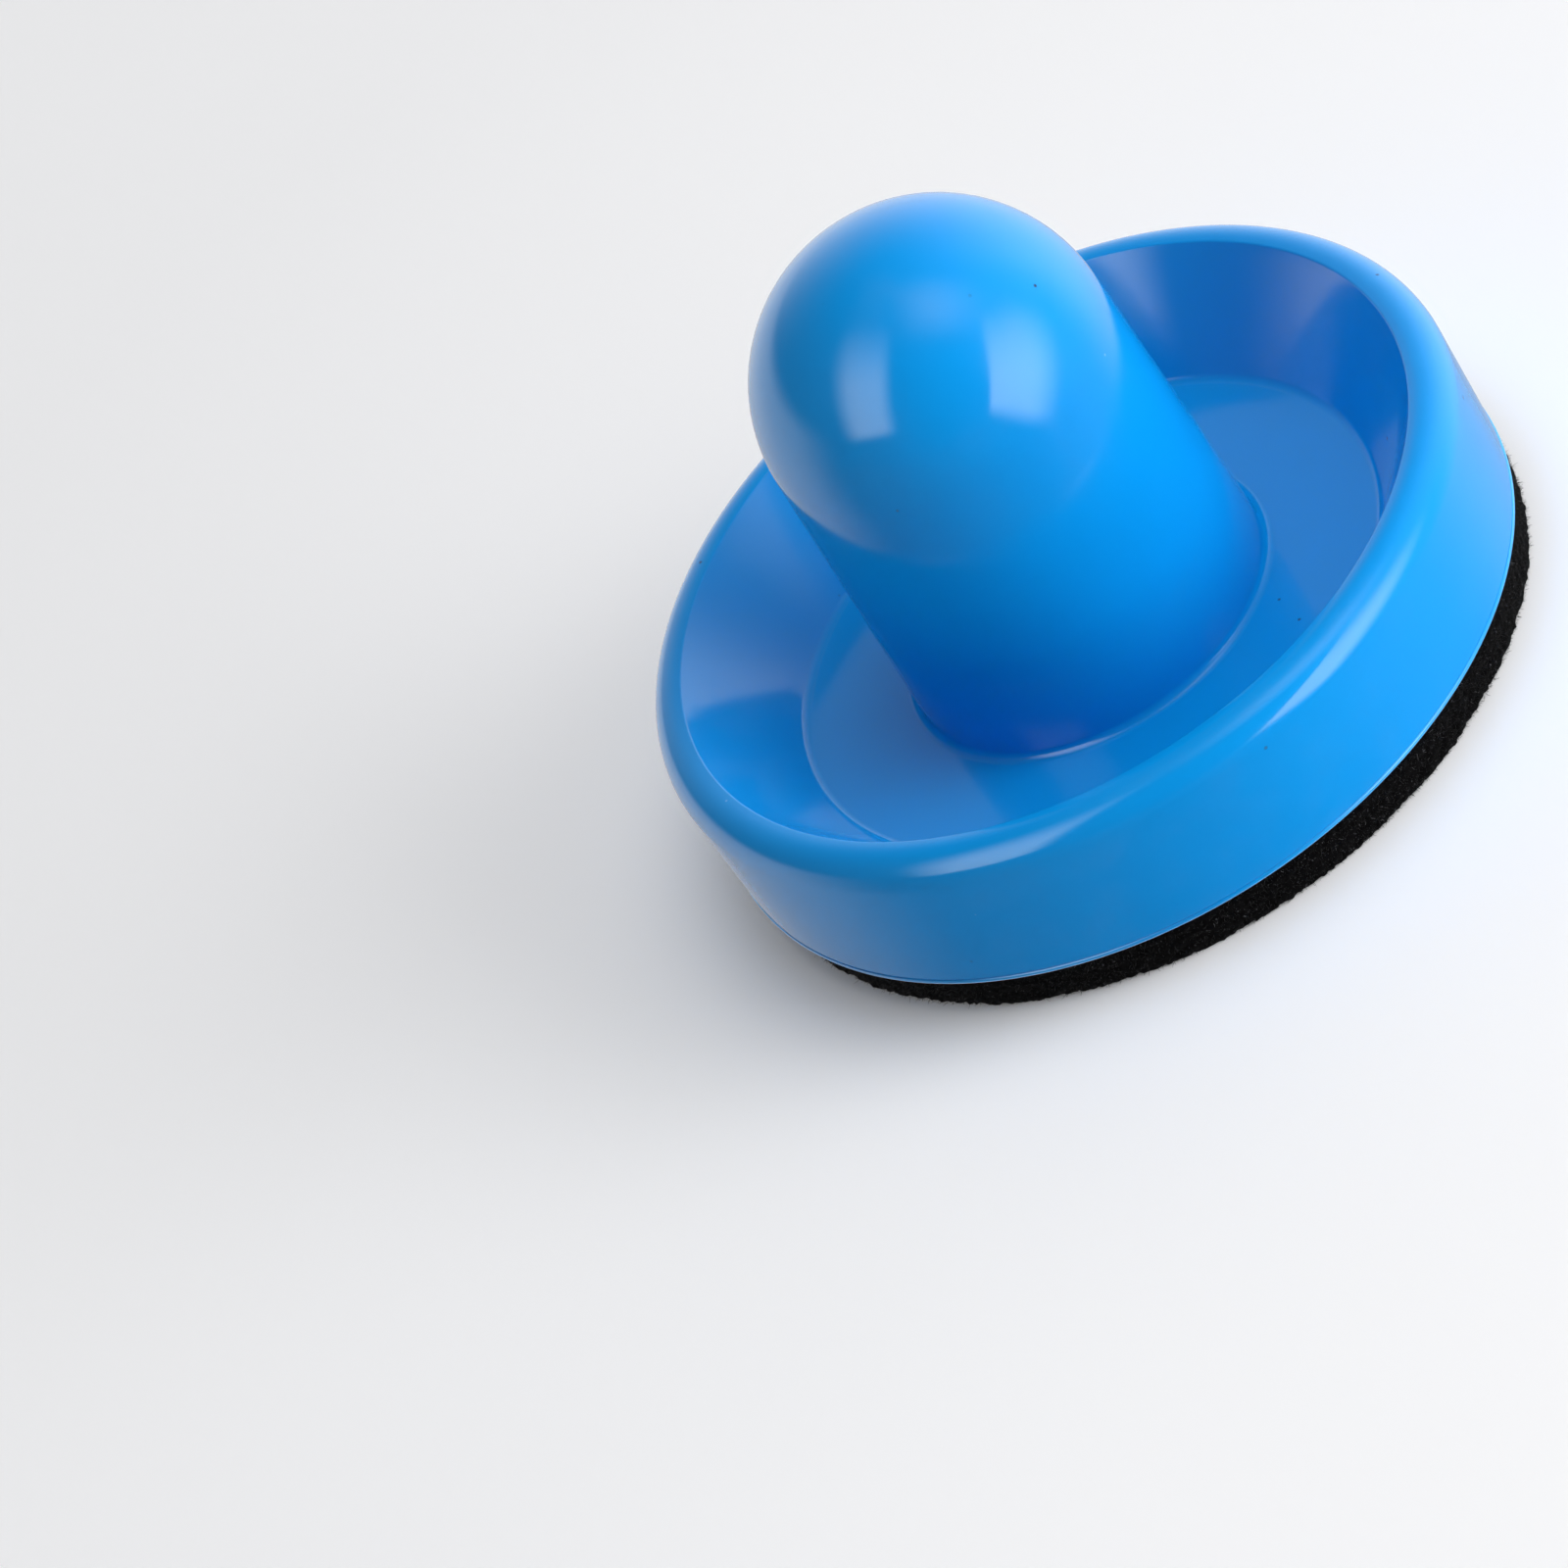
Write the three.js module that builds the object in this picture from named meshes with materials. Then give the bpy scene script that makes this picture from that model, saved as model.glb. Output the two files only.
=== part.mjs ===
// Air hockey striker: a hollow moulded body with a domed handle standing in a finger bowl,
// closed below by a thin base plate that carries a glued felt pad.
// Millimetres, +Z up, origin on the striker's axis at the underside of the felt.
import * as THREE from 'three';

// Driving dimensions
const baseRadius = 48;          // outer wall at its foot: a 96 mm striker
const shoulderRadius = 48.45;   // outer wall just under the crest
const crestHeight = 18.4;       // inner edge of the crest above the base plate's underside
const crestEdgeRadius = 43.9;   // inner edge of the crest, where the bowl begins
const crestSlope = degrees(8);  // fall of the crest towards the bowl
const crestRounding = 3.5;
const crestEdgeRounding = 0.7;
const bowlDepth = 12.75;        // crest edge down to the bowl floor
const floorRadius = 34.9;
const floorRounding = 1.4;
const domeRadius = 20.2;
const domeCentreHeight = 42.1;  // above the base plate's underside
const postDraft = degrees(1.6);
const footRounding = 1.1;
const shellThickness = 2.4;

const feltRadius = 46.8;
const feltThickness = 4.8;
const feltShift = new THREE.Vector2(0.5, -0.5);   // the pad is glued on slightly off centre
const filmThickness = 0.2;
const filmInset = 0.8;          // the adhesive film stops short of the felt's edge

const flangeThickness = 0.55;
const plateThickness = 1.5;
const spigotHeight = 2.6;       // locating ring inside the body's wall
const spigotWidth = 1.8;
const spigotClearance = 0.3;

const radialSegments = 64;
const stepAngle = degrees(15);  // largest turn between neighbouring points of a rounding

// Heights that follow from the stack of pad, film, plate and body
const baseZ = feltThickness + filmThickness;
const bodyFootZ = baseZ + flangeThickness;
const crestEdgeZ = baseZ + crestHeight;
const floorZ = crestEdgeZ - bowlDepth;
const domeCentreZ = baseZ + domeCentreHeight;

const bluePlastic = new THREE.MeshStandardMaterial({ color: 0x0a78dc, roughness: 0.22, metalness: 0 });
const blackFelt = new THREE.MeshStandardMaterial({ color: 0x121213, roughness: 1, metalness: 0 });
const clearAdhesive = new THREE.MeshStandardMaterial({ color: 0xd8d4c4, roughness: 0.5, metalness: 0 });

function degrees(angle) {
  return angle * Math.PI / 180;
}

// Points of an arc about (r, z), both ends included.
function arc(r, z, radius, from, to) {
  const steps = Math.max(1, Math.ceil(Math.abs(to - from) / stepAngle));
  const points = [];
  for (let i = 0; i <= steps; i++) {
    const angle = from + (to - from) * i / steps;
    points.push(new THREE.Vector2(r + radius * Math.cos(angle), z + radius * Math.sin(angle)));
  }
  return points;
}

// The points that round the corner between the lines before-corner and corner-after.
function roundedCorner(before, corner, after, radius) {
  const toBefore = before.clone().sub(corner).normalize();
  const toAfter = after.clone().sub(corner).normalize();
  const halfAngle = Math.acos(toBefore.dot(toAfter)) / 2;
  const bisector = toBefore.clone().add(toAfter).normalize();
  const centre = corner.clone().addScaledVector(bisector, radius / Math.sin(halfAngle));
  const start = corner.clone().addScaledVector(toBefore, radius / Math.tan(halfAngle)).sub(centre);
  const end = corner.clone().addScaledVector(toAfter, radius / Math.tan(halfAngle)).sub(centre);
  const turn = Math.atan2(start.cross(end), start.dot(end));
  return arc(centre.x, centre.y, radius, start.angle(), start.angle() + turn);
}

// A polyline through corners [point, rounding]; the first and last points stay sharp.
function roundedOutline(corners) {
  return corners.flatMap(([corner, radius], i) => (
    radius ? roundedCorner(corners[i - 1][0], corner, corners[i + 1][0], radius) : [corner]
  ));
}

// Where the line through a and b, moved sideways by offset, reaches radius r or height z.
function offsetLine(a, b, offset) {
  const along = b.clone().sub(a).normalize();
  const start = a.clone().add(new THREE.Vector2(along.y, -along.x).multiplyScalar(offset));
  return {
    atRadius: (r) => start.clone().addScaledVector(along, (r - start.x) / along.x),
    atHeight: (z) => start.clone().addScaledVector(along, (z - start.y) / along.y),
  };
}

function turned(name, profile, material) {
  const mesh = new THREE.Mesh(new THREE.LatheGeometry(profile, radialSegments), material);
  mesh.rotation.x = Math.PI / 2;   // a lathe turns about Y; the striker's axis is Z
  mesh.name = name;
  return mesh;
}

// Body: dome, drafted post, bowl floor, conical bowl wall, crest and outer wall in one
// shell of even thickness, open underneath.
function strikerBody() {
  const point = (r, z) => new THREE.Vector2(r, z);
  const postRadiusAt = (z, radius) => (
    radius / Math.cos(postDraft) + (domeCentreZ - z) * Math.tan(postDraft)
  );
  const dome = (radius) => arc(0, domeCentreZ, radius, postDraft, Math.PI / 2);

  const foot = point(baseRadius, bodyFootZ);
  const shoulderRise = (shoulderRadius - crestEdgeRadius) * Math.tan(crestSlope);
  const shoulder = point(shoulderRadius, crestEdgeZ + shoulderRise);
  const crestEdge = point(crestEdgeRadius, crestEdgeZ);
  const floorEdge = point(floorRadius, floorZ);
  const postFoot = point(postRadiusAt(floorZ, domeRadius), floorZ);
  const outside = dome(domeRadius);
  const outline = roundedOutline([
    [foot, 0],
    [shoulder, crestRounding],
    [crestEdge, crestEdgeRounding],
    [floorEdge, floorRounding],
    [postFoot, footRounding],
    [outside[0], 0],
  ]).concat(outside.slice(1));

  const ceilingZ = floorZ - shellThickness;
  const cavityRadius = domeRadius - shellThickness;
  const bowlBack = offsetLine(crestEdge, floorEdge, -shellThickness);
  const inside = dome(cavityRadius);
  const cavity = roundedOutline([
    [point(baseRadius - shellThickness, bodyFootZ), 0],
    [bowlBack.atRadius(baseRadius - shellThickness), 1],
    [bowlBack.atHeight(ceilingZ), 1],
    [point(postRadiusAt(ceilingZ, cavityRadius), ceilingZ), 1],
    [inside[0], 0],
  ]).concat(inside.slice(1));

  return turned('striker_body', [...cavity.reverse(), ...outline], bluePlastic);
}

// Base plate: a disc whose thin flange closes the wall's foot, with a locating ring that
// drops inside the wall.
function basePlate() {
  const spigotRadius = baseRadius - shellThickness - spigotClearance;
  const points = [
    [0, baseZ], [baseRadius, baseZ], [baseRadius, bodyFootZ], [spigotRadius, bodyFootZ],
    [spigotRadius, baseZ + spigotHeight], [spigotRadius - spigotWidth, baseZ + spigotHeight],
    [spigotRadius - spigotWidth, baseZ + plateThickness], [0, baseZ + plateThickness],
  ];
  return turned('base_plate', points.map(([r, z]) => new THREE.Vector2(r, z)), bluePlastic);
}

function disc(name, radius, bottomZ, thickness, material) {
  const topZ = bottomZ + thickness;
  const points = [[0, bottomZ], [radius, bottomZ], [radius, topZ], [0, topZ]];
  const mesh = turned(name, points.map(([r, z]) => new THREE.Vector2(r, z)), material);
  mesh.position.set(feltShift.x, feltShift.y, 0);
  return mesh;
}

const striker = new THREE.Group();
striker.add(
  strikerBody(),
  basePlate(),
  disc('adhesive_film', feltRadius - filmInset, feltThickness, filmThickness, clearAdhesive),
  disc('felt_pad', feltRadius, 0, feltThickness, blackFelt),
);

export default striker;
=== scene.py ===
"""Air hockey striker: fine surfaces, materials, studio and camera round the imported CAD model."""

import math
import random

import bpy
import numpy as np
from mathutils import Matrix, Vector, noise


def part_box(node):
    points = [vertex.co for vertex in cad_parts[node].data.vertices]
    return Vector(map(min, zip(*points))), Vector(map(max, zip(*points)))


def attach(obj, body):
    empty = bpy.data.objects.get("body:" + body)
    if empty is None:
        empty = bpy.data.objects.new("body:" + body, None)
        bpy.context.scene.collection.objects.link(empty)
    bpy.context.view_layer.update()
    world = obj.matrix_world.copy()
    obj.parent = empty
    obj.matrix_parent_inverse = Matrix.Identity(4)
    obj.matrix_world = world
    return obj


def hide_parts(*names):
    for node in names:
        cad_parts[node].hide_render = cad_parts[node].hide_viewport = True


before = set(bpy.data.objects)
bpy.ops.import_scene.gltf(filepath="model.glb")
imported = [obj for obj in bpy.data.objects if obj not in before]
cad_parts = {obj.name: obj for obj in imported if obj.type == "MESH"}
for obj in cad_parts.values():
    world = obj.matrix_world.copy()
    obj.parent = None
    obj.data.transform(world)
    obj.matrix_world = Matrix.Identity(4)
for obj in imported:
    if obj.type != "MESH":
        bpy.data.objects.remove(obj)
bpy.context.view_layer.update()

MM = 0.001
SEED = 7

# Driving sizes of the moulding, in metres, as in the CAD model
BASE_RADIUS = 48 * MM
SHOULDER_RADIUS = 48.45 * MM
CREST_HEIGHT = 18.4 * MM
CREST_EDGE_RADIUS = 43.9 * MM
CREST_SLOPE = math.radians(8)
CREST_ROUNDING = 3.5 * MM
CREST_EDGE_ROUNDING = 0.4 * MM   # crisper than the CAD model's
BOWL_DEPTH = 12.75 * MM
FLOOR_RADIUS = 34.9 * MM
FLOOR_ROUNDING = 1.4 * MM
DOME_RADIUS = 20.2 * MM
POST_DRAFT = math.radians(1.6)
FOOT_ROUNDING = 1.1 * MM
SHELL = 2.4 * MM
CAVITY_ROUNDING = 1.0 * MM
PLATE_THICKNESS = 1.5 * MM
RING_WIDTH = 1.8 * MM
RING_CLEARANCE = 0.3 * MM

# Edges at the wall's foot that are plain and flush in the CAD model
SEAM_ROUNDING = 0.14 * MM
BEAD_ROUNDING = 0.20 * MM
BEAD_OVERHANG = 0.12 * MM   # how far the plate's rounded edge stands out of the wall's foot

# Fineness of the turned meshes
SEGMENTS = 288
ARC_STEP = math.radians(4)
SPAN_STEP = 1.6 * MM
ON_AXIS = 1e-7

# Heights read from the frame
plate_lo, plate_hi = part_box("base_plate")
body_lo, body_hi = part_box("striker_body")
felt_lo, felt_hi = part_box("felt_pad")
BASE_Z = plate_lo.z
FOOT_Z = body_lo.z
CREST_EDGE_Z = BASE_Z + CREST_HEIGHT
FLOOR_Z = CREST_EDGE_Z - BOWL_DEPTH
DOME_CENTRE_Z = body_hi.z - DOME_RADIUS


# ---- outlines -------------------------------------------------------------------------

def point(r, z):
    return Vector((r, z))


def arc(r, z, radius, start, end):
    """Points of an arc about (r, z), both ends included."""
    steps = max(1, math.ceil(abs(end - start) / ARC_STEP))
    angles = [start + (end - start) * i / steps for i in range(steps + 1)]
    return [point(r + radius * math.cos(a), z + radius * math.sin(a)) for a in angles]


def rounded_corner(before, corner, after, radius):
    """The arc that rounds the corner between two straight runs."""
    to_before = (before - corner).normalized()
    to_after = (after - corner).normalized()
    half = math.acos(to_before.dot(to_after)) / 2
    centre = corner + (to_before + to_after).normalized() * (radius / math.sin(half))
    start = corner + to_before * (radius / math.tan(half)) - centre
    end = corner + to_after * (radius / math.tan(half)) - centre
    first = math.atan2(start.y, start.x)
    turn = math.atan2(start.x * end.y - start.y * end.x, start.dot(end))
    return arc(centre.x, centre.y, radius, first, first + turn)


def rounded_outline(corners):
    """A polyline through (point, rounding) corners; its two ends stay sharp."""
    points = []
    for i, (corner, radius) in enumerate(corners):
        if radius:
            points += rounded_corner(corners[i - 1][0], corner, corners[i + 1][0], radius)
        else:
            points.append(corner)
    return points


def with_short_spans(points):
    """The same polyline with its long straight runs divided, so that shading stays even."""
    result = [points[0]]
    for a, b in zip(points, points[1:]):
        count = max(1, math.ceil((b - a).length / SPAN_STEP))
        result += [a.lerp(b, i / count) for i in range(1, count + 1)]
    return result


def offset_line(a, b, offset):
    """Two functions giving the point at a radius or a height on the line a-b moved sideways."""
    along = (b - a).normalized()
    start = a + Vector((along.y, -along.x)) * offset

    def at_radius(r):
        return start + along * ((r - start.x) / along.x)

    def at_height(z):
        return start + along * ((z - start.y) / along.y)

    return at_radius, at_height


# ---- meshes ---------------------------------------------------------------------------

def new_piece(name, verts, faces, material):
    """A smooth mesh object that rides on the striker's one body."""
    mesh = bpy.data.meshes.new(name)
    mesh.from_pydata([tuple(v) for v in verts], [], faces)
    mesh.validate()
    mesh.shade_smooth()
    mesh.materials.append(material)
    piece = bpy.data.objects.new(name, mesh)
    bpy.context.scene.collection.objects.link(piece)
    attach(piece, "root")
    return piece


def lathe(name, profile, material, segments=SEGMENTS):
    """Turns a profile that starts and ends on the axis into one closed surface."""
    verts, rings = [], []
    for p in profile:
        if p.x < ON_AXIS:
            rings.append([len(verts)] * segments)
            verts.append((0, 0, p.y))
        else:
            rings.append(list(range(len(verts), len(verts) + segments)))
            for k in range(segments):
                turn = 2 * math.pi * k / segments
                verts.append((p.x * math.cos(turn), p.x * math.sin(turn), p.y))
    faces = []
    for low, high in zip(rings, rings[1:]):
        for k in range(segments):
            n = (k + 1) % segments
            corners = [low[k], low[n], high[n], high[k]]
            faces.append(list(dict.fromkeys(corners)))
    return new_piece(name, verts, faces, material)


def post_radius(z, radius):
    """The drafted post's radius at height z, where radius is its dome's."""
    return radius / math.cos(POST_DRAFT) + (DOME_CENTRE_Z - z) * math.tan(POST_DRAFT)


def body_profile():
    """Cavity, foot, outer wall, crest, bowl, post and dome, in one run round the shell."""
    foot = point(BASE_RADIUS, FOOT_Z)
    rise = (SHOULDER_RADIUS - CREST_EDGE_RADIUS) * math.tan(CREST_SLOPE)
    shoulder = point(SHOULDER_RADIUS, CREST_EDGE_Z + rise)
    crest_edge = point(CREST_EDGE_RADIUS, CREST_EDGE_Z)
    floor_edge = point(FLOOR_RADIUS, FLOOR_Z)
    post_foot = point(post_radius(FLOOR_Z, DOME_RADIUS), FLOOR_Z)
    dome = arc(0, DOME_CENTRE_Z, DOME_RADIUS, POST_DRAFT, math.pi / 2)

    ceiling_z = FLOOR_Z - SHELL
    cavity_radius = DOME_RADIUS - SHELL
    back_at_radius, back_at_height = offset_line(crest_edge, floor_edge, -SHELL)
    inner_dome = arc(0, DOME_CENTRE_Z, cavity_radius, POST_DRAFT, math.pi / 2)
    inner_foot = point(BASE_RADIUS - SHELL, FOOT_Z)
    inner_post = point(post_radius(ceiling_z, cavity_radius), ceiling_z)
    cavity = rounded_outline([
        (inner_foot, 0),
        (back_at_radius(BASE_RADIUS - SHELL), CAVITY_ROUNDING),
        (back_at_height(ceiling_z), CAVITY_ROUNDING),
        (inner_post, CAVITY_ROUNDING),
        (inner_dome[0], 0),
    ]) + inner_dome[1:]
    outside = rounded_outline([
        (inner_foot, 0),
        (foot, SEAM_ROUNDING),
        (shoulder, CREST_ROUNDING),
        (crest_edge, CREST_EDGE_ROUNDING),
        (floor_edge, FLOOR_ROUNDING),
        (post_foot, FOOT_ROUNDING),
        (dome[0], 0),
    ]) + dome[1:]
    return with_short_spans(cavity[::-1] + outside[1:])


def plate_profile():
    """Base plate: a disc, its thin rounded flange and the locating ring inside the wall."""
    plate_top = BASE_Z + PLATE_THICKNESS
    ring_out = BASE_RADIUS - SHELL - RING_CLEARANCE
    ring_in = ring_out - RING_WIDTH
    rim = BASE_RADIUS + BEAD_OVERHANG
    return with_short_spans(rounded_outline([
        (point(0, BASE_Z), 0),
        (point(rim, BASE_Z), BEAD_ROUNDING),
        (point(rim, FOOT_Z), BEAD_ROUNDING),
        (point(ring_out, FOOT_Z), 0),
        (point(ring_out, plate_hi.z), 0),
        (point(ring_in, plate_hi.z), 0),
        (point(ring_in, plate_top), 0),
        (point(0, plate_top), 0),
    ]))


# ---- felt -----------------------------------------------------------------------------

FELT_RADIUS = (felt_hi.x - felt_lo.x) / 2
FELT_CENTRE = (felt_lo + felt_hi) / 2
FELT_LOWER_ROUNDING = 0.6 * MM
FELT_UPPER_ROUNDING = 0.2 * MM
FELT_FLARE = 0.15 * MM   # how far the loosened cut edge spreads
FELT_INSET = 0.02 * MM
NAP_BAND = 4 * MM        # the ring at the rim that the nap roughens
FELT_COLUMNS = 900
NAP_ROW = 0.3 * MM       # largest spacing of the mesh's rows in that band
PLAIN_ROW = 2.4 * MM     # and elsewhere
HAIRS = 13500
HAIR_SIDES = 3
HAIR_STEPS = 2
HAIR_ROOT_DEPTH = 0.15 * MM   # how far the hairs start inside the flared edge
PALE_HAIRS = 0.03             # share of the hairs drawn pale, standing for dust and for painted glints of light on hair ends


def felt_offset(p, normal):
    """How the felt's nap at its rim stands out of the plain pad at p."""
    fine = noise.noise(p / (0.5 * MM)) * 0.26 * MM
    clumps = noise.noise(p / (1.3 * MM)) * 0.14 * MM
    cut = noise.noise(Vector((p.x, p.y, 0)) / (7 * MM)) * 0.22 * MM
    near_rim = min(max((math.hypot(p.x, p.y) - FELT_RADIUS) / NAP_BAND + 1, 0), 1)
    return normal * ((FELT_FLARE + fine + clumps + cut) * near_rim - FELT_INSET)


def felt_profile():
    """Half section of the pad, from the centre of its underside to the centre of its top."""
    lo, hi = felt_lo.z, felt_hi.z
    coarse = rounded_outline([
        (point(0, lo), 0),
        (point(FELT_RADIUS, lo), FELT_LOWER_ROUNDING),
        (point(FELT_RADIUS, hi), FELT_UPPER_ROUNDING),
        (point(FELT_RADIUS - 3 * MM, hi), 0),
        (point(0, hi), 0),
    ])
    points = [coarse[0]]
    for a, b in zip(coarse, coarse[1:]):
        in_band = max(a.x, b.x) > FELT_RADIUS - NAP_BAND and min(a.x, b.x) > MM
        step = NAP_ROW if in_band else PLAIN_ROW
        count = max(1, math.ceil((b - a).length / step))
        points += [a.lerp(b, i / count) for i in range(1, count + 1)]
    return points


def make_felt(material):
    """The pad as a turned solid, its cut edge roughened into a nap and its top left flat."""
    felt = lathe("felt_nap", felt_profile(), material, FELT_COLUMNS)
    mesh = felt.data
    centre = Vector((FELT_CENTRE.x, FELT_CENTRE.y, 0))
    moved = []
    for v in mesh.vertices:
        flat_top = v.co.z > felt_hi.z - FELT_INSET
        p = v.co.copy()
        if not flat_top:
            p += felt_offset(v.co, v.normal)
        p.z = min(max(p.z, felt_lo.z), felt_hi.z)
        moved.append(p + centre)
    mesh.vertices.foreach_set("co", np.array([c for p in moved for c in p]))
    mesh.update()
    return felt


def fibre(rng, root, outward, length, radius):
    """Rings of a short bent hair that leaves root roughly along outward."""
    up = Vector((0, 0, 1))
    side = outward.cross(up).normalized()
    lean = side * rng.gauss(0, 0.9) + up * rng.gauss(0, 0.7)
    curl = Vector((rng.gauss(0, 1), rng.gauss(0, 1), rng.gauss(0, 1)))
    turns = [2 * math.pi * k / HAIR_SIDES for k in range(HAIR_SIDES)]
    rings = []
    for i in range(HAIR_STEPS + 1):
        t = i / HAIR_STEPS
        along = outward * t + lean * t * 0.6 + curl * t * t * 0.5
        centre = root + along * length
        centre.z = min(max(centre.z, felt_lo.z + 2 * radius), felt_hi.z - 2 * radius)
        thin = radius * (1 - 0.7 * t)
        rings.append([centre + side * thin * math.cos(a) + up * thin * math.sin(a) for a in turns])
    return rings


def tube_faces(base, rings):
    """Faces of a closed hair whose rings of vertices start at number base."""
    faces = []
    for i in range(rings - 1):
        low = base + HAIR_SIDES * i
        for k in range(HAIR_SIDES):
            a, b = low + k, low + (k + 1) % HAIR_SIDES
            faces.append((a, b, b + HAIR_SIDES, a + HAIR_SIDES))
    last = base + HAIR_SIDES * (rings - 1)
    faces.append(tuple(range(base + HAIR_SIDES - 1, base - 1, -1)))
    faces.append(tuple(range(last, last + HAIR_SIDES)))
    return faces


def make_fibres(material):
    """Loose hairs that stand out of the pad's cut edge."""
    rng = random.Random(SEED)
    verts, faces, tints = [], [], []
    root_radius = FELT_RADIUS + FELT_FLARE - HAIR_ROOT_DEPTH
    for _ in range(HAIRS):
        turn = rng.uniform(0, 2 * math.pi)
        outward = Vector((math.cos(turn), math.sin(turn), 0))
        z = rng.uniform(felt_lo.z + 0.1 * MM, felt_hi.z - 0.3 * MM)
        root = outward * root_radius + Vector((FELT_CENTRE.x, FELT_CENTRE.y, z))
        length = rng.uniform(0.15, 0.42) * MM
        radius = rng.uniform(0.018, 0.042) * MM
        rings = fibre(rng, root, outward, length, radius)
        # a pale tint stands for dust and for a painted glint of light on the hair's end
        tint = 1.0 if rng.random() < PALE_HAIRS else rng.uniform(0, 0.12)
        base = len(verts)
        for ring in rings:
            verts += ring
            tints += [tint] * HAIR_SIDES
        faces += tube_faces(base, len(rings))
    fibres = new_piece("felt_fibres", verts, faces, material)
    layer = fibres.data.attributes.new("tint", "FLOAT", "POINT")
    layer.data.foreach_set("value", tints)
    return fibres


# ---- nodes ----------------------------------------------------------------------------

def arithmetic(tree, operation, a, b):
    """A math node on two values, each a number or another node's output."""
    node = tree.nodes.new("ShaderNodeMath")
    node.operation = operation
    for value, socket in ((a, node.inputs[0]), (b, node.inputs[1])):
        if isinstance(value, (int, float)):
            socket.default_value = value
        else:
            tree.links.new(value, socket)
    return node.outputs[0]


def smooth_rise(tree, value, start, end, height):
    """0 where value is start, rising smoothly to height at end."""
    ramp = tree.nodes.new("ShaderNodeMapRange")
    ramp.interpolation_type = "SMOOTHSTEP"
    ramp.inputs["From Min"].default_value = start
    ramp.inputs["From Max"].default_value = end
    ramp.inputs["To Max"].default_value = height
    tree.links.new(value, ramp.inputs["Value"])
    return ramp.outputs["Result"]


def edge_fade(tree, coordinate, near, far):
    """A rise from 0 over the first share near of a coordinate and a fall over the last, far."""
    rise = smooth_rise(tree, coordinate, 0, near, 1)
    return arithmetic(tree, "MULTIPLY", rise, smooth_rise(tree, coordinate, 1, 1 - far, 1))


# ---- materials ------------------------------------------------------------------------

AZURE = (0.002, 0.285, 0.74)
DEEP_AZURE = (0.002, 0.27, 0.71)
PLATE_HIGHLIGHT_AZURE = (0.01, 0.38, 0.86)   # lighter than the body's azure: a painted highlight that brightens the lines along the plate's thin edge
DARK_DUST = (0.002, 0.02, 0.09)
PALE_DUST = (0.30, 0.58, 0.85)
PLASTIC_IOR = 1.52
POLISHED_IOR = 1.9


class Nodes:
    """A new node material with short ways to add and link nodes."""

    def __init__(self, name):
        self.material = bpy.data.materials.new(name)
        self.material.use_nodes = True
        self.tree = self.material.node_tree
        self.shader = self.tree.nodes["Principled BSDF"]
        self.coords = self.add("ShaderNodeTexCoord").outputs["Object"]

    def add(self, kind, **values):
        node = self.tree.nodes.new(kind)
        for key, value in values.items():
            setattr(node, key, value)
        return node

    def link(self, output, socket):
        self.tree.links.new(output, socket)

    def noise(self, scale, detail=4, roughness=0.55):
        node = self.add("ShaderNodeTexNoise")
        self.link(self.coords, node.inputs["Vector"])
        node.inputs["Scale"].default_value = scale
        node.inputs["Detail"].default_value = detail
        node.inputs["Roughness"].default_value = roughness
        return node.outputs["Fac"]

    def ramp(self, value, low, high, low_to=0.0, high_to=1.0):
        """low_to where value is low, high_to where it is high, straight between them."""
        node = self.add("ShaderNodeMapRange")
        self.link(value, node.inputs["Value"])
        node.inputs["From Min"].default_value = low
        node.inputs["From Max"].default_value = high
        node.inputs["To Min"].default_value = low_to
        node.inputs["To Max"].default_value = high_to
        return node.outputs["Result"]

    def math(self, operation, a, b):
        return arithmetic(self.tree, operation, a, b)

    def mix(self, factor, a, b):
        node = self.add("ShaderNodeMix", data_type="RGBA")
        self.link(factor, node.inputs["Factor"])
        for value, socket in ((a, node.inputs["A"]), (b, node.inputs["B"])):
            if isinstance(value, tuple):
                socket.default_value = (*value, 1)
            else:
                self.link(value, socket)
        return node.outputs["Result"]

    def bump(self, height, distance):
        node = self.add("ShaderNodeBump")
        node.inputs["Distance"].default_value = distance
        self.link(height, node.inputs["Height"])
        self.link(node.outputs["Normal"], self.shader.inputs["Normal"])

    def set(self, name, value):
        """Gives one of the shader's inputs a number or colour, or links it to a node."""
        socket = self.shader.inputs[name]
        if isinstance(value, (int, float, tuple)):
            socket.default_value = value
        else:
            self.link(value, socket)


def glossy_plastic(name, colour, deep, ior):
    """Moulded azure plastic: faint tone drift, rare dust specks and fine rubbing marks."""
    m = Nodes(name)
    tone = m.ramp(m.noise(28, detail=3), 0.35, 0.65)
    cells = m.add("ShaderNodeTexVoronoi", feature="F1")
    m.link(m.coords, cells.inputs["Vector"])
    cells.inputs["Scale"].default_value = 160
    spot = m.ramp(cells.outputs["Distance"], 0.02, 0.045, low_to=1.0, high_to=0.0)
    rare = m.ramp(m.noise(45, detail=1), 0.46, 0.54)
    speck = m.math("MULTIPLY", spot, rare)
    pale = m.ramp(cells.outputs["Color"], 0.62, 0.64)
    dust = m.mix(pale, DARK_DUST, PALE_DUST)
    m.set("Base Color", m.mix(speck, m.mix(tone, deep, colour), dust))
    rub = m.ramp(m.noise(160, detail=6, roughness=0.7), 0.45, 0.75, low_to=0.10, high_to=0.20)
    m.set("Roughness", m.math("ADD", rub, m.math("MULTIPLY", speck, 0.3)))
    m.set("IOR", ior)
    m.bump(m.noise(60, detail=2), 0.03 * MM)
    return m.material


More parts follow.
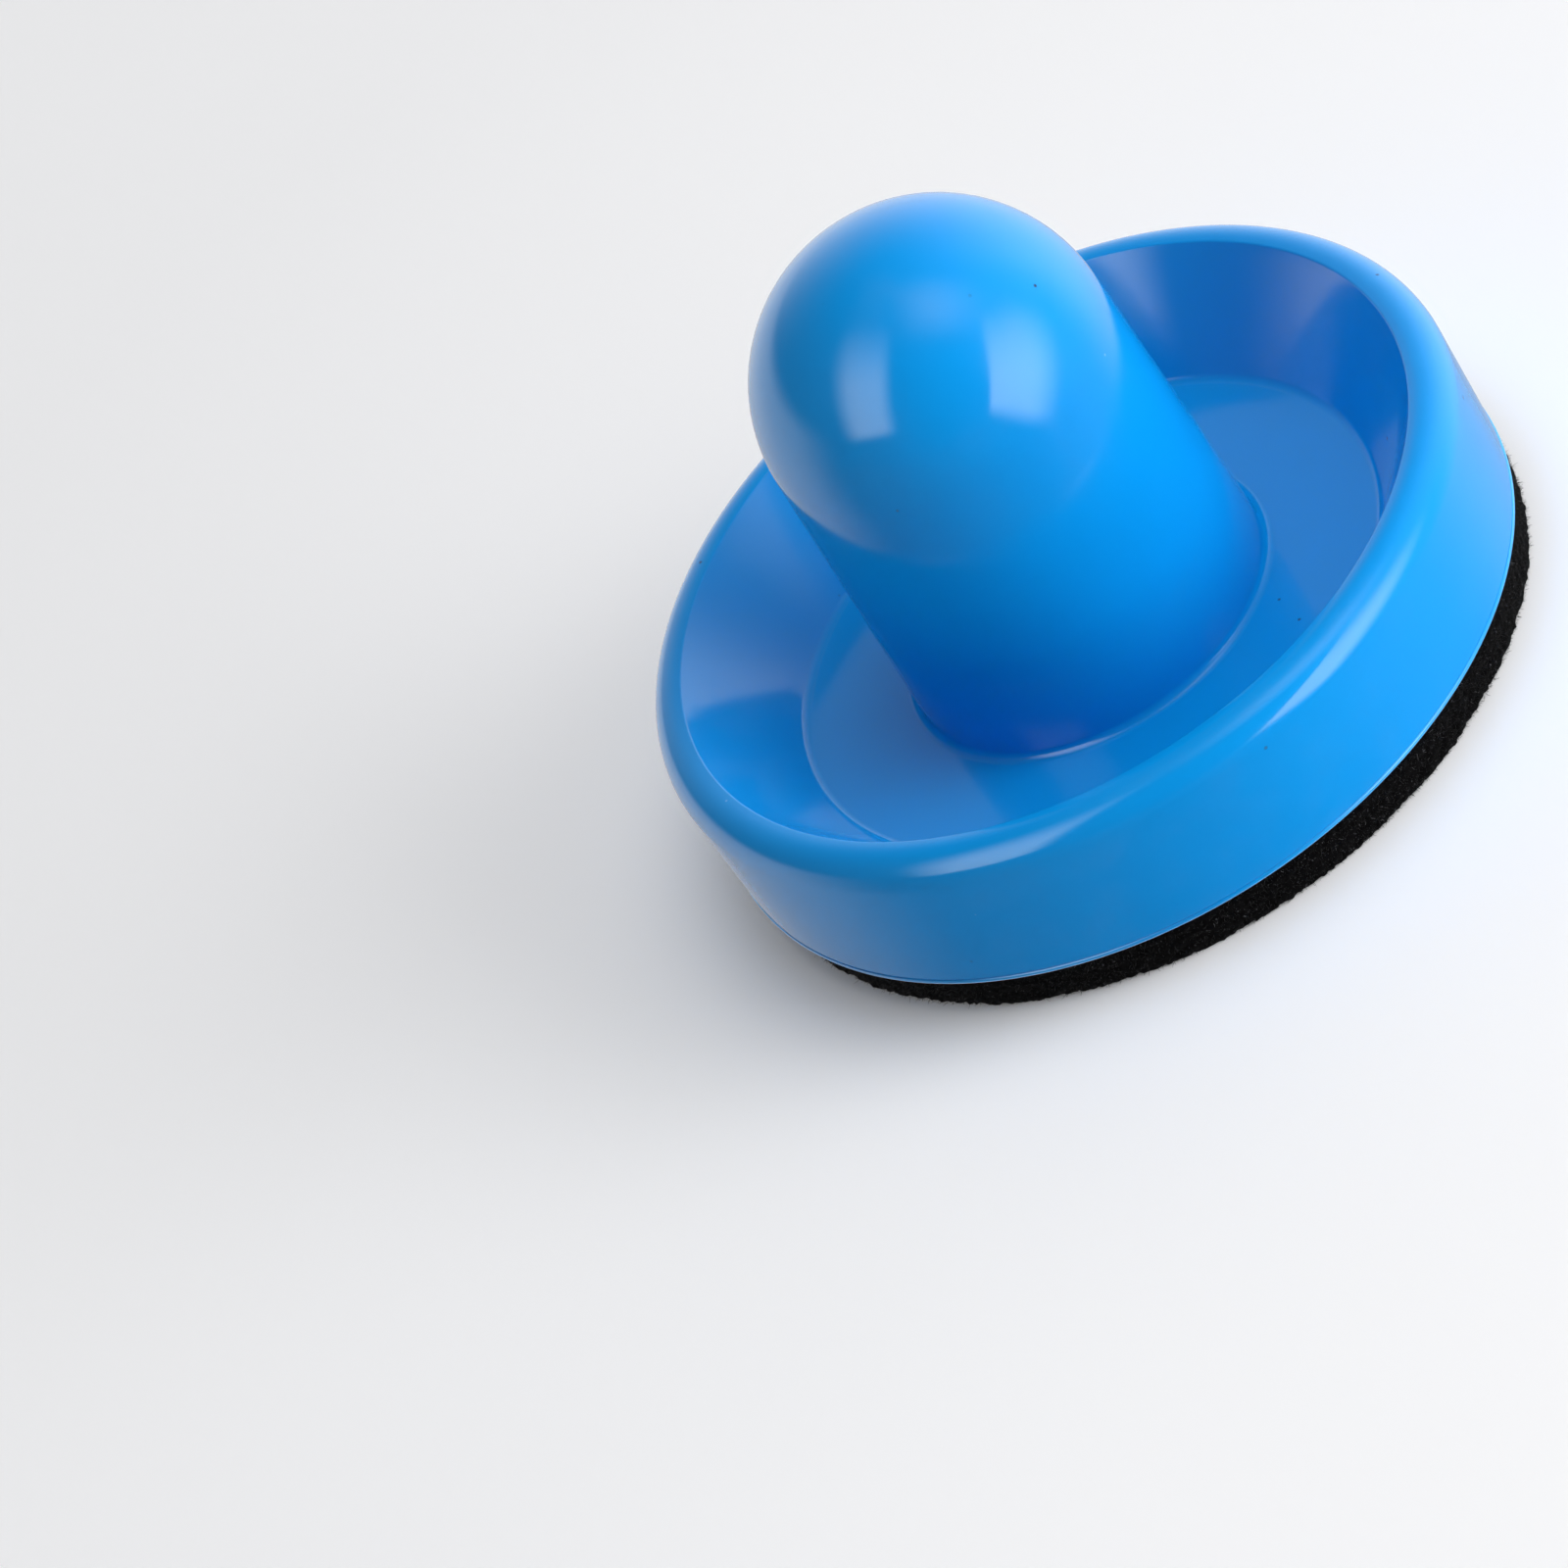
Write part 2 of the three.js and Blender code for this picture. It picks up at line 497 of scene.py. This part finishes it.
def felt_material(name):
    """Black needled felt: matted fibres, a few greyer ones and a soft sheen."""
    m = Nodes(name)
    matted = m.ramp(m.noise(1500, detail=5, roughness=0.7), 0.42, 0.72)
    nap = m.mix(matted, (0.0005, 0.0005, 0.0006), (0.004, 0.004, 0.0045))
    greyer = m.ramp(m.noise(3000, detail=3, roughness=0.6), 0.64, 0.72)
    m.set("Base Color", m.mix(greyer, nap, (0.07, 0.07, 0.075)))
    m.set("Roughness", 1.0)
    m.set("Specular IOR Level", 0.06)
    m.set("Sheen Weight", 0.02)
    m.bump(m.noise(2600, detail=4, roughness=0.8), 0.12 * MM)
    return m.material


def fibre_material(name):
    """Single hairs of the felt, dark grey, with the odd pale one that stands for dust and for a
    painted glint of light on a hair's end.
    """
    m = Nodes(name)
    tint = m.add("ShaderNodeAttribute", attribute_name="tint").outputs["Fac"]
    shade = m.ramp(m.noise(900, detail=2), 0.35, 0.65, low_to=0.6, high_to=1.0)
    # pale hairs: dust and painted glints of light
    dust_and_glint = m.math("MULTIPLY", tint, shade)
    m.set("Base Color", m.mix(dust_and_glint, (0.0015, 0.0015, 0.0015), (0.16, 0.16, 0.17)))
    m.set("Roughness", 0.8)
    return m.material


def adhesive_material(name):
    """Thin cream adhesive film with small trapped bubbles."""
    m = Nodes(name)
    bubbles = m.ramp(m.noise(700, detail=3), 0.55, 0.7)
    m.set("Base Color", m.mix(bubbles, (0.42, 0.40, 0.33), (0.58, 0.56, 0.50)))
    m.set("Roughness", m.ramp(m.noise(400, detail=3), 0.3, 0.7, low_to=0.35, high_to=0.6))
    return m.material


def floor_material(name):
    """Matte white studio sheet that glows a little, more so far from the striker."""
    m = Nodes(name)
    away = m.add("ShaderNodeVectorMath", operation="LENGTH")
    m.link(m.coords, away.inputs[0])
    glow = m.ramp(away.outputs["Value"], 0.2, 1.6, low_to=0.08, high_to=0.6)
    m.set("Emission Strength", glow)
    m.set("Emission Color", (1, 1, 1, 1))
    m.set("Base Color", m.mix(m.noise(6, detail=3), (0.86, 0.86, 0.87), (0.90, 0.90, 0.91)))
    m.set("Roughness", 0.75)
    m.set("Specular IOR Level", 0.2)
    return m.material


# ---- pieces ---------------------------------------------------------------------------

body_plastic = glossy_plastic("azure_body", AZURE, DEEP_AZURE, PLASTIC_IOR)
body = lathe("body_shell", body_profile(), body_plastic)
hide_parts("striker_body")

# the plate's lighter azure is a painted highlight for the lines at its edge
plate_plastic = glossy_plastic("azure_plate", PLATE_HIGHLIGHT_AZURE, AZURE, POLISHED_IOR)
plate = lathe("plate_disc", plate_profile(), plate_plastic)
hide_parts("base_plate")

felt = make_felt(felt_material("black_felt"))
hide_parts("felt_pad")

fibres = make_fibres(fibre_material("felt_hairs"))

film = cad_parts["adhesive_film"]
for film_slot in film.material_slots:
    film_slot.material = adhesive_material("adhesive_cream")


# ---- studio and camera ----------------------------------------------------------------

CAMERA_DISTANCE = 0.8
CAMERA_ELEVATION = math.radians(36.55)
CAMERA_ROLL = math.radians(-35.5)
LENS = 167.5
SENSOR = 36
FRAME_RIGHT = 36.0 * MM   # how far the striker's foot sits right of the picture's middle
FRAME_UP = 15.1 * MM      # and how far above it
GRIP = Vector((0, 0, DOME_CENTRE_Z))
FLOOR_SIZE = 8

# Brightness of the studio's surroundings
FRONT_WALL = 0.045
BACK_WALL = 1.1
RIGHT_WALL = 0.26
LEFT_WALL = 0.10
TABLE_GLOW = 2.2
BACKDROP = 0.9            # the least that the camera sees behind the floor


def camera_axes():
    """Right, up and backward directions of the rolled camera."""
    back = Vector((0, -math.cos(CAMERA_ELEVATION), math.sin(CAMERA_ELEVATION)))
    level = Vector((1, 0, 0))
    upright = back.cross(level)
    cos, sin = math.cos(CAMERA_ROLL), math.sin(CAMERA_ROLL)
    return level * cos + upright * sin, upright * cos - level * sin, back


def placement(position, right, up, back):
    """The matrix of a camera or lamp at position that looks away from back."""
    return Matrix.Translation(position) @ Matrix((right, up, back)).transposed().to_4x4()


def make_camera():
    right, up, back = camera_axes()
    data = bpy.data.cameras.new("camera")
    data.lens = LENS
    data.sensor_width = SENSOR
    data.clip_start = 0.01
    camera = bpy.data.objects.new("camera", data)
    aim = Vector((0, 0, BASE_Z)) - right * FRAME_RIGHT - up * FRAME_UP
    camera.matrix_world = placement(aim + back * CAMERA_DISTANCE, right, up, back)
    bpy.context.scene.collection.objects.link(camera)
    bpy.context.scene.camera = camera


def softbox(name, towards, distance, size, radiance, fade, mirrored=True, lights=True):
    """A rectangular area light that looks at the grip, placed along the camera's own axes.

    towards is right, up and backward; fade holds the shares of its width and height over
    which its left, right, bottom and top edges dim. The plastic mirrors it if mirrored, and
    it brightens what it shines on if lights."""
    width, height = size
    data = bpy.data.lights.new(name, "AREA")
    data.shape = "RECTANGLE"
    data.size = width
    data.size_y = height
    data.energy = radiance * math.pi * width * height
    data.use_nodes = True
    tree = data.node_tree
    parametric = tree.nodes.new("ShaderNodeNewGeometry").outputs["Parametric"]
    split = tree.nodes.new("ShaderNodeSeparateXYZ")
    tree.links.new(parametric, split.inputs[0])
    across = edge_fade(tree, split.outputs["X"], fade[0], fade[1])
    upward = edge_fade(tree, split.outputs["Y"], fade[2], fade[3])
    strength = tree.nodes["Emission"].inputs["Strength"]
    tree.links.new(arithmetic(tree, "MULTIPLY", across, upward), strength)

    right, up, back = camera_axes()
    outward = (right * towards[0] + up * towards[1] + back * towards[2]).normalized()
    sideways = up.cross(outward).normalized()
    light = bpy.data.objects.new(name, data)
    light.matrix_world = placement(GRIP + outward * distance, sideways,
                                   outward.cross(sideways), outward)
    light.visible_camera = False
    light.visible_glossy = mirrored
    light.visible_diffuse = lights
    bpy.context.scene.collection.objects.link(light)


def make_world():
    """A studio that is bright behind and under the striker, fair at its sides, dim in front."""
    world = bpy.data.worlds.new("studio")
    bpy.context.scene.world = world
    world.use_nodes = True
    tree = world.node_tree
    direction = tree.nodes.new("ShaderNodeTexCoord").outputs["Generated"]
    split = tree.nodes.new("ShaderNodeSeparateXYZ")
    tree.links.new(direction, split.inputs[0])
    x, y, z = split.outputs

    back_wall = smooth_rise(tree, y, -0.15, 0.45, BACK_WALL)
    below_top = smooth_rise(tree, z, 0.95, 0.05, 1)
    above_table = smooth_rise(tree, z, -1.0, -0.1, 1)
    not_left = smooth_rise(tree, x, -0.75, 0.05, 1)
    not_high = smooth_rise(tree, z, 0.30, 0.05, 1)
    not_high_left = arithmetic(tree, "MAXIMUM", not_left, not_high)
    for limit in (below_top, above_table, not_high_left):
        back_wall = arithmetic(tree, "MULTIPLY", back_wall, limit)

    right_wall = smooth_rise(tree, x, 0.2, 0.9, RIGHT_WALL)
    left_wall = smooth_rise(tree, x, -0.2, -0.9, LEFT_WALL)
    table = smooth_rise(tree, z, -0.67, -0.85, TABLE_GLOW)
    strength = arithmetic(tree, "ADD", back_wall, FRONT_WALL)
    for part in (right_wall, left_wall, table):
        strength = arithmetic(tree, "ADD", strength, part)

    seen = tree.nodes.new("ShaderNodeLightPath").outputs["Is Camera Ray"]
    backdrop = arithmetic(tree, "MULTIPLY", seen, BACKDROP)
    strength = arithmetic(tree, "MAXIMUM", strength, backdrop)
    background = tree.nodes["Background"]
    background.inputs["Color"].default_value = (0.97, 0.98, 1.0, 1)
    tree.links.new(strength, background.inputs["Strength"])


def make_floor():
    half = FLOOR_SIZE / 2
    mesh = bpy.data.meshes.new("floor")
    corners = [(-half, -half, 0), (half, -half, 0), (half, half, 0), (-half, half, 0)]
    mesh.from_pydata(corners, [], [(0, 1, 2, 3)])
    mesh.materials.append(floor_material("pale_floor"))
    floor = bpy.data.objects.new("floor", mesh)
    floor.visible_glossy = False   # the plastic mirrors the studio, which keeps its blue deep
    bpy.context.scene.collection.objects.link(floor)


def make_softboxes():
    """Three softboxes that the plastic mirrors, and two fills that it doesn't."""
    all_round = (0.5, 0.5, 0.5, 0.5)
    softbox("right_softbox", towards=(0.81, 0.16, 0.56), distance=1.0, size=(1.0, 1.4),
            radiance=3.9, fade=(0.04, 0.5, 0.2, 0.6))
    softbox("left_softbox", towards=(-0.75, -0.02, 0.66), distance=1.0, size=(0.77, 1.35),
            radiance=3.0, fade=(0.4, 0.25, 0.1, 0.6), lights=False)
    softbox("top_softbox", towards=(0.0, 0.68, 0.73), distance=1.2, size=(1.3, 1.1),
            radiance=1.1, fade=all_round)
    softbox("key_fill", towards=(0.66, 0.52, 0.55), distance=1.2, size=(1.3, 1.3),
            radiance=6.5, fade=all_round, mirrored=False)
    softbox("overhead_fill", towards=(-0.30, 0.70, 0.60), distance=1.2, size=(1.8, 1.8),
            radiance=3.0, fade=all_round, mirrored=False)


def make_studio():
    make_floor()
    make_world()
    make_softboxes()
    bpy.context.scene.view_settings.view_transform = "Standard"


make_camera()
make_studio()
